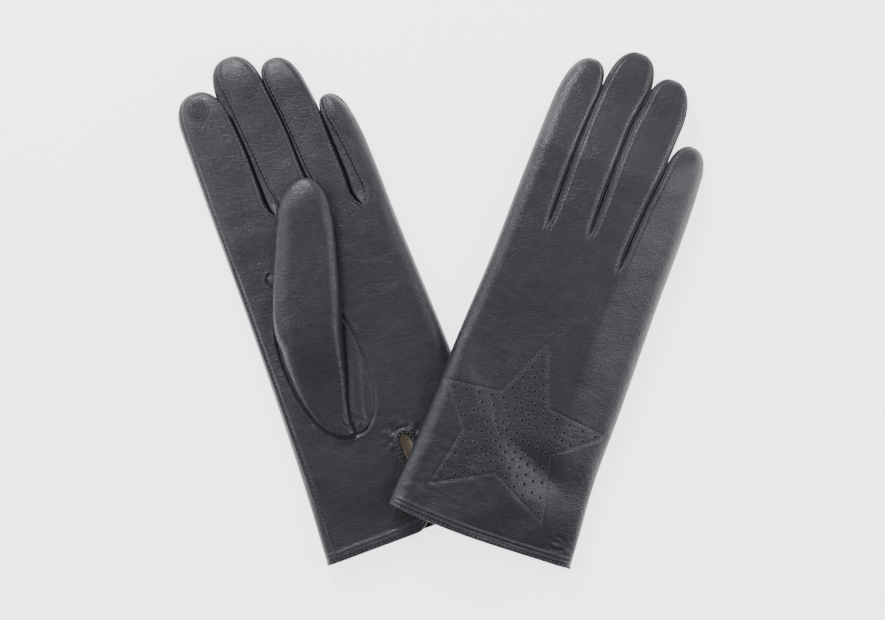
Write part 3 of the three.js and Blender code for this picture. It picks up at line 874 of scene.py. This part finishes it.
def finger_lining(glove, name):
    def where(u, v):
        y = finger_rows(glove, name, v * 0.93)
        left, right = finger_edges(glove, name, y, True)
        reach = max((right - left) / 2 - 1.9, 0.3)
        across = 0.5 + reach * math.cos(2 * math.pi * u) / (right - left)
        return place(glove, *between(
            finger_point(glove, name, y, across, 1), finger_point(glove, name, y, across, -1),
            math.sin(2 * math.pi * u)))

    bend_with(tube_lining(glove, name, where), glove, name)


for glove in ("left", "right"):
    hand_lining(glove)
    for name in ORDER:
        finger_lining(glove, name)
print("linings made")

# %% [markdown]
# ## Thumb
# The thumb is a soft tube sewn into the palm's oval hole and folded flat along the palm. Its
# front is one smooth piece from the oval's left side to the fold; right of the fold shows the
# leaf-shaped foot, which stays with the palm.

# %% Thumb surfaces
THUMB_LEFT = [(100, -33.0), (108, -32.4), (115, -30.8), (128, -26.2), (140, -20.9),
              (150, -16.6), (158, -13.0)]
THUMB_FOLD = [(53, -13.0), (62, -12.6), (80, -7.4), (104, -0.4), (125, 5.6), (140, 9.8),
              (150, 12.2), (158, 13.4)]
THUMB_ROUND, THUMB_TIP = 155.0, (4.4, 174.3)
THUMB_START = 54.0


def thumb_edges(y):
    s = min(max((y - THUMB_ROUND) / (THUMB_TIP[1] - THUMB_ROUND), 0.0), 1.0)
    if y < THUMB_LEFT[0][0]:
        left = oval_side(max(y, 53.5), -1) + 0.7
    else:
        left = curve(THUMB_LEFT, y) + 0.7 * ease((112 - y) / 12)
    right = curve(THUMB_FOLD, y)
    left = min(left, right - 0.4)
    centre = mix((left + right) / 2, THUMB_TIP[0], s ** 1.4)
    half = (right - left) / 2 * math.sqrt(max(1 - s * s, 0))
    return centre - half, centre + half, s


def thumb_point(glove, y, u, outer):
    left, right, s = thumb_edges(y)
    x = mix(left, right, u)
    out = PALM_SIDE[glove]
    base = flat_palm(glove, x, y) + out * 0.5
    thick = mix(2.2, 8.6, ease((y - 54) / 60)) * (1 - s ** 3.2) ** 0.5 if s < 1 else 0.0
    thick = max(thick, 0.05)
    inside = ease((y - 98) / 22)
    middle = thick * 0.5 * inside
    if s > 0:
        middle = mix(middle, 4.3, s)
    edge_left = rolled(x - left, mix(3.0, 9.0, ease((y - 54) / 50)) * (1 - 0.5 * s))
    edge_right = rolled(right - x, mix(2.4, 5.5, ease((y - 54) / 60)) * (1 - 0.3 * s))
    profile = min(edge_left, edge_right)
    soft = 0.5 * waves(glove, x, y, 24, 21) + 0.12 * waves(glove, x, y, 6, 22)
    gather = math.exp(-(((x + 13) / 6) ** 2) - ((y - 58) / 5) ** 2)
    soft += 1.3 * gather * waves(glove, x * 1.6, y, 2.0, 23)
    if outer:
        height = middle + thick * (1 - 0.5 * inside) * profile
        return x, y, base + out * (height + soft * profile)
    return x, y, base + out * (middle - thick * 0.5 * profile * 0.94)


def flat_palm(glove, x, y):
    """The palm's face without its seams, for what lies on it."""
    left, right = outline(glove, y)
    half = hand_height(y) / 2
    profile = rolled(min(x - left, right - x), EDGE_ROLL)
    middle = (2 * x - left - right) / (right - left)
    puff = 1 - 0.1 * middle ** 2 if PALM_SIDE[glove] > 0 else 1.0
    soft = 0.55 * waves(glove, x, y, 26, 1)
    return lift(glove, x, y) + half + PALM_SIDE[glove] * (half * profile * puff + soft)


def thumb_rows(v, start):
    return rows_to_tip(v, start, THUMB_ROUND, THUMB_TIP[1], 0.72)


def swing_with(piece, glove):
    place(glove, -14, 64, 0)
    place(glove, -4, 104, 0)
    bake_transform(piece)


# %% Thumb pieces
def make_thumb(glove):
    out = PALM_SIDE[glove]

    def front(u, v):
        return place(glove, *thumb_point(glove, thumb_rows(v, THUMB_START), crowd(u, 0.9), True))

    def back(u, v):
        return place(glove, *thumb_point(glove, thumb_rows(v, 100), crowd(u, 0.9), False))

    def foot(u, v):
        y = mix(53.6, 122.0, v)
        left, right = oval_side(y, -1) + 0.8, oval_side(y, 1) - 0.8
        x = mix(left, right, u)
        t = min(max((x - thumb_edges(y)[1]) / 8, 0), 1)
        swell = 1.5 * math.sin(math.pi * t) ** 0.8 if t > 0 else 0.0
        crease = 0.5 * math.exp(-(((x + 8) / 5) ** 2) - ((y - 59) / 5) ** 2)
        crease *= waves(glove, x, y, 2.0, 24)
        return place(glove, x, y, flat_palm(glove, x, y) + out * (0.15 + swell * 0.5 + crease))

    swing_with(panel(f"{glove}_thumb_front_leather", size_for(48), size_for(110), front,
                     (0, 0, out), None, [f"{glove}_thumb_front"]), glove)
    swing_with(panel(f"{glove}_thumb_back_leather", 30, 60, back, (0, 0, -out), None,
                     [f"{glove}_thumb_back"]), glove)
    panel(f"{glove}_thumb_foot_leather", 40, 70, foot, (0, 0, out), f"{glove}_hand",
          [f"{glove}_thumb_foot"])

    def lining(u, v):
        y = thumb_rows(v * 0.94, 106)
        left, right, _ = thumb_edges(y)
        reach = max((right - left) / 2 - 2.2, 0.3)
        across = 0.5 + reach * math.cos(2 * math.pi * u) / (right - left)
        faces = [thumb_point(glove, y, across, side == out) for side in (1, -1)]
        return place(glove, *between(*faces, math.sin(2 * math.pi * u)))

    swing_with(tube_lining(glove, "thumb", lining), glove)


for glove in ("left", "right"):
    make_thumb(glove)
print("thumbs made")

# %% [markdown]
# ## Small pieces
# The vent's binding is a narrow welt that follows the keyhole, the quirk is the little diamond
# that eases the thumb hole, and the touch pad is a stitched disc with an embossed mesh.

# %% Vent binding, quirk, touch pad and hem facing
BIND, BIND_LEG = 2.9, 0.36
PAD_RADIUS, PAD_ALONG, PAD_PITCH = 5.3, 5.1, 1.15


def vent_path(t, out_by):
    """Round the keyhole: t 0 to 1 from the hem up the index side, over the top and down."""
    low, head = 4.2, VENT_HEAD_Y
    if t < BIND_LEG or t > 1 - BIND_LEG:
        up = t / BIND_LEG if t < BIND_LEG else (1 - t) / BIND_LEG
        y = mix(low, head, up)
        side = -1 if t < BIND_LEG else 1
        return VENT_X + side * (vent_half(y) + out_by), y
    turn = mix(math.pi, 0, (t - BIND_LEG) / (1 - 2 * BIND_LEG))
    across, tall = KEYHOLE_WIDE + out_by, KEYHOLE_TALL + out_by
    return VENT_X + across * math.cos(turn), head + tall * math.sin(turn)


def small_pieces(glove):
    out = PALM_SIDE[glove]
    hand = f"{glove}_hand"

    def binding(u, v):
        x, y = vent_path(v, mix(-0.25, BIND, u))
        welt = 0.85 * math.sin(math.pi * min(max(u, 0.02), 0.98)) ** 0.6 - 0.25
        welt += groove((u - 0.3) * BIND, 0.3, 0.25)
        return place(glove, x, y, flat_palm(glove, x, y) + out * (0.25 + welt))

    def quirk(u, v):
        a, b = u - 0.5, v - 0.5
        x, y = -23.4 + 5.0 * a - 1.6 * b, 133.6 + 7.0 * b + 1.5 * a
        dome = 0.7 * (1 - 4 * a * a) * (1 - 4 * b * b)
        return place(glove, x, y, flat_palm(glove, x, y) + out * (dome - 0.1))

    def pad(u, v):
        a, b = 2 * u - 1, 2 * v - 1
        px, py = a * math.sqrt(1 - b * b / 2), b * math.sqrt(1 - a * a / 2)
        r = math.hypot(px, py)
        f = FINGERS[glove]["index"]
        x, y = f["tip"][0] + PAD_RADIUS * px, f["tip"][1] - 8.6 + PAD_ALONG * py
        left, right = finger_edges(glove, "index", y, out > 0)
        z = finger_point(glove, "index", y, (x - left) / (right - left), out)[2]
        wave = 2 * math.pi / PAD_PITCH
        mesh = 0.24 * math.sin(px * PAD_RADIUS * wave) * math.sin(py * PAD_ALONG * wave)
        if r >= 0.78:
            mesh = 0.0
        ring = groove((r - 0.86) * 5.2, 0.35, 0.35)
        ring += 0.3 * math.exp(-(((r - 0.96) * 5.2 / 0.3) ** 2))
        return place(glove, x, y, z + out * (0.22 * (1 - r ** 8) - 0.05 + ring + mesh))

    panel(f"{glove}_vent_binding_leather", 10, 160, binding, (0, 0, out), hand,
          [f"{glove}_vent_binding"], EDGE_LOOK)
    panel(f"{glove}_quirk_leather", 14, 18, quirk, (0, 0, out), hand, [f"{glove}_quirk"])
    disc = panel(f"{glove}_touch_pad_leather", 70, 70, pad, (0, 0, out), None,
                 [f"{glove}_touch_pad"], PAD_LOOK)
    bend_with(disc, glove, "index")

    joined = bmesh.new()
    for is_palm in (True, False):
        side = out * (1 if is_palm else -1)

        def facing(u, v):
            y = mix(0.9, HEM + 1.6, v)
            left, right = outline(glove, y)
            x = mix(left, right, crowd(u, 0.8))
            edge = hem_edge(glove, x, is_palm)
            z = face(glove, x, max(y + edge, edge + CURL), is_palm) - side * 1.5
            return place(glove, x * 0.985, y + edge, z)

        bm = panel_bmesh(80, 6, facing, (0, 0, -side))
        if is_palm:
            gone = [f for f in bm.faces
                    if abs(local(glove, f.calc_center_median())[0] - VENT_X) < 4.6]
            bmesh.ops.delete(bm, geom=gone, context="FACES")
        move_into(joined, bm)
    piece = finish_mesh(f"{glove}_hem_facing_leather", joined, EDGE_LOOK, hand,
                        [f"{glove}_cuff_hem"])
    thicken(piece, 0.5)


for glove in ("left", "right"):
    small_pieces(glove)
print("small pieces made")

# %% [markdown]
# ## Stitches
# Every stitch is a tiny pinched bead of thread lying in its groove. One maker lays a row of
# them along any path, all in one mesh, so a whole row counts as one piece.


# %% The stitch maker
def stitch_row(bm, path, spacing, length, radius):
    """Lays stitches along a list of points in metres, `spacing` millimetres apart."""
    run, step = 0.0, spacing * MM
    for a, b in zip(path, path[1:]):
        gap = (b - a).length
        while run < gap:
            centre = a.lerp(b, run / gap)
            turn = (b - a).to_track_quat("X", "Z").to_matrix().to_4x4()
            shape = Matrix.Diagonal((length / 2 * MM, radius * MM, radius * MM, 1))
            bmesh.ops.create_icosphere(
                bm, subdivisions=1, radius=1, matrix=Matrix.Translation(centre) @ turn @ shape)
            run += step
        run -= gap


def sew(name, paths, look, body, spacing=2.1, length=1.35, radius=0.2):
    bm = bmesh.new()
    for path in paths:
        stitch_row(bm, path, spacing, length, radius)
    return finish_mesh(name, bm, look, body, None)


def steps(a, b, count):
    return [mix(a, b, k / count) for k in range(count + 1)]


# %% Finger stitches
def finger_stitches(glove, name):
    f = FINGERS[glove][name]
    is_left_glove = glove == "left"
    paths = []
    for k in (0, 1):
        if f["slit"][k] is None:
            continue
        path = []
        end = f["round"] + 0.55 * (f["tip"][1] - f["round"])
        for y in steps(f["slit"][k] + 0.5, end, 60):
            left, right = finger_edges(glove, name, y, True)
            inset = 0.75 if is_left_glove else 1.75
            u = inset / (right - left)
            x, y, z = finger_point(glove, name, y, u if k == 0 else 1 - u, 1)
            path.append(place(glove, x, y, z + 0.08))
        paths.append(path)
    if name == "index" and is_left_glove:
        path = []
        for y in steps(ROOT_Y[glove], 212, 60):
            left, right = finger_edges(glove, name, y, True)
            u = side_seam(y) / (right - left)
            x, y, z = finger_point(glove, name, y, u, 1)
            path.append(place(glove, x, y, z + 0.02))
        paths.append(path)
    piece = sew(f"{glove}_{name}_stitches", paths, THREAD_LOOK, None)
    bend_with(piece, glove, name)


# %% Hand stitches
def hand_stitches(glove):
    hand = f"{glove}_hand"
    pale, dark = [], []
    for is_palm in (True, False):
        side = PALM_SIDE[glove] * (1 if is_palm else -1)
        for inset, rows in zip(HEM_ROWS, (pale, dark)):
            spans = ((-44.5, VENT_X - 3.2), (VENT_X + 3.2, 44.5)) if is_palm else ((-44.5, 44.5),)
            for a, b in spans:
                path = []
                for x in steps(a, b, 70):
                    y = hem_edge(glove, x, is_palm) + inset
                    path.append(place(glove, x, y, face(glove, x, y, is_palm) + side * 0.1))
                rows.append(path)
    out = PALM_SIDE[glove]
    seam = []
    for y in steps(6, ROOT_Y[glove], 70):
        x = outline(glove, y)[0] + side_seam(y)
        seam.append(place(glove, x, y, face(glove, x, y, True) + out * 0.05))
    pale.append(seam)
    for inset, rise in ((0.75, 0.92), (2.35, 0.7)):
        path = [vent_path(t, inset) for t in steps(0, 1, 120)]
        pale.append([place(glove, x, y, flat_palm(glove, x, y) + out * rise) for x, y in path])
    sew(f"{glove}_hem_stitches", pale, THREAD_LOOK, hand)
    sew(f"{glove}_inner_hem_stitches", dark, DARK_THREAD_LOOK, hand)
    star = []
    for a, b in zip(STAR, STAR[1:] + STAR[:1]):
        path = []
        for t in steps(0, 1, 30):
            x, y = mix(a[0], b[0], t), mix(a[1], b[1], t)
            path.append(place(glove, x, y, face(glove, x, y, False) - out * 0.02))
        star.append(path)
    sew(f"{glove}_star_stitches", star, THREAD_LOOK, hand, 1.7, 1.35, 0.13)


def perforations(glove):
    """A pressed rim, painted lighter grey as its highlight, and a dark bore for every hole of the
    star.
    """
    side = -PALM_SIDE[glove]
    rims, bores = bmesh.new(), bmesh.new()
    for x, y in HOLES:
        z = face(glove, x, y, False)
        slope_x = (face(glove, x + 1, y, False) - face(glove, x - 1, y, False)) / 2
        slope_y = (face(glove, x, y + 1, False) - face(glove, x, y - 1, False)) / 2
        c, s = math.cos(TURN[glove]), math.sin(TURN[glove])
        upright = Vector((-slope_x * c + slope_y * s, -slope_x * s - slope_y * c, 1)) * side
        stand = Matrix.Translation(place(glove, x, y, z + side * 0.06))
        stand = stand @ upright.to_track_quat("Z", "Y").to_matrix().to_4x4()
        bmesh.ops.create_cone(
            rims, segments=12, radius1=HOLE_RADIUS * 1.5 * MM, radius2=HOLE_RADIUS * 0.95 * MM,
            depth=0.26 * MM, cap_ends=False, matrix=stand)
        bmesh.ops.create_circle(
            bores, segments=12, radius=HOLE_RADIUS * MM, cap_ends=True,
            matrix=stand @ Matrix.Translation((0, 0, 0.04 * MM)))
    hand = f"{glove}_hand"
    finish_mesh(f"{glove}_star_hole_rims", rims, HOLE_RIM_HIGHLIGHT_LOOK, hand, None)
    finish_mesh(f"{glove}_star_hole_bores", bores, BORE_LOOK, hand, None)


for glove in ("left", "right"):
    hand_stitches(glove)
    perforations(glove)
    for name in ORDER:
        finger_stitches(glove, name)
print("stitches made")

# %% [markdown]
# ## Studio
# The pair is seen from straight above, as in a product layout, on a plain pale table, under
# two long soft lights that draw the highlights along the folds. The table glows a little, so
# it stays pale under lights that are weak enough for dark leather.

# %% Table, lights and camera
TABLE_GLOW, ROOM_LIGHT = 2.5, 0.34
floor_bm = bmesh.new()
bmesh.ops.create_grid(floor_bm, x_segments=2, y_segments=2, size=2.0)
floor_mesh = bpy.data.meshes.new("table_top")
floor_bm.to_mesh(floor_mesh)
floor_bm.free()
floor_look, _, floor_shader, _ = new_material("white_table")
floor_shader.inputs["Base Color"].default_value = linear("#f7f7f7")
floor_shader.inputs["Roughness"].default_value = 0.9
floor_shader.inputs["Emission Color"].default_value = linear("#ffffff")
floor_shader.inputs["Emission Strength"].default_value = TABLE_GLOW
floor_mesh.materials.append(floor_look)
table_top = bpy.data.objects.new("table_top", floor_mesh)
bpy.context.scene.collection.objects.link(table_top)


def soft_light(name, place_at, size, power):
    data = bpy.data.lights.new(name, "AREA")
    data.shape = "RECTANGLE"
    data.size, data.size_y = size
    data.energy = power
    light = bpy.data.objects.new(name, data)
    light.location = place_at
    light.rotation_euler = (-Vector(place_at)).to_track_quat("-Z", "Y").to_euler()
    bpy.context.scene.collection.objects.link(light)


soft_light("left_strip", (-0.9, 0.25, 0.8), (0.5, 1.3), 9)
soft_light("right_strip", (0.95, 0.1, 0.7), (0.5, 1.2), 9)
soft_light("top_box", (0.0, 1.2, 0.7), (2.0, 0.9), 4)
soft_light("tip_glint", (-0.3, 0.8, 0.6), (0.25, 0.25), 9)

world = bpy.data.worlds.new("studio")
world.use_nodes = True
world.node_tree.nodes["Background"].inputs["Color"].default_value = linear("#ffffff")
world.node_tree.nodes["Background"].inputs["Strength"].default_value = ROOM_LIGHT
bpy.context.scene.world = world

VIEW_WIDTH, LENS, SENSOR = 0.416, 95.0, 36.0
camera_data = bpy.data.cameras.new("camera")
camera_data.lens, camera_data.sensor_width = LENS, SENSOR
camera = bpy.data.objects.new("camera", camera_data)
camera.location = (0.0, 0.0, VIEW_WIDTH * LENS / SENSOR + 0.012)
bpy.context.scene.collection.objects.link(camera)
bpy.context.scene.camera = camera
